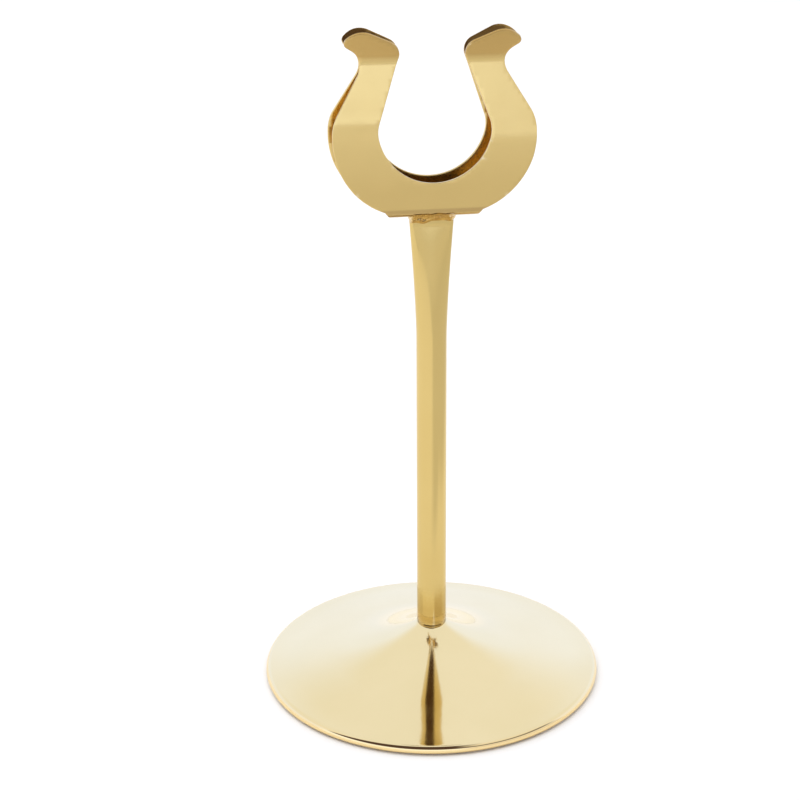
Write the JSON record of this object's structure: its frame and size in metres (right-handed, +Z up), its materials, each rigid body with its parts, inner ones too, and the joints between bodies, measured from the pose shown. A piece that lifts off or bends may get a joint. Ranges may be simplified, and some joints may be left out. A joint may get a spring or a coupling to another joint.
{
  "type": "table number holder",
  "caption": "Table number holder: a weighted round dish base, a slim tube stem with a flattened top, and a horseshoe spring clip of two leaves that grips a card.",
  "frame": {"origin": "centre of the base's underside, on the table", "axes": "+Z up along the stem, X along the clip's width and the card, front leaf on -Y"},
  "size_m": [0.104, 0.104, 0.2004],
  "materials": {
    "gold_plate": "polished gold plating on steel",
    "braze": "rough braze under gold plating",
    "iron": "rough cast, lightly oiled",
    "zinc_steel": "zinc plated",
    "rubber": "matt moulded rubber"
  },
  "bodies": {
    "stand": {"base_shell": "gold_plate", "ballast_disc": "iron", "bottom_plate": "zinc_steel", "foot_pad": "rubber", "stem_tube": "gold_plate", "stem_plug": "zinc_steel", "stem_screw": "zinc_steel", "lock_washer": "zinc_steel", "flat_washer": "zinc_steel", "weld_bead": "braze", "clip_web": "gold_plate"},
    "front_leaf": {"front_leaf": "gold_plate"},
    "back_leaf": {"back_leaf": "gold_plate"}
  },
  "joints": [
    {"name": "front_leaf_flex", "type": "hinge", "parent": "stand", "child": "front_leaf", "pos_m": [0, -0.00524, 0.1497], "axis": [1, 0, 0], "range_deg": [0, 3.5], "stiffness_Nm_per_rad": 1, "springref_deg": -1.72},
    {"name": "back_leaf_flex", "type": "hinge", "parent": "stand", "child": "back_leaf", "pos_m": [0, 0.00524, 0.1497], "axis": [-1, 0, 0], "range_deg": [0, 3.5], "stiffness_Nm_per_rad": 1, "springref_deg": -1.72}
  ]
}
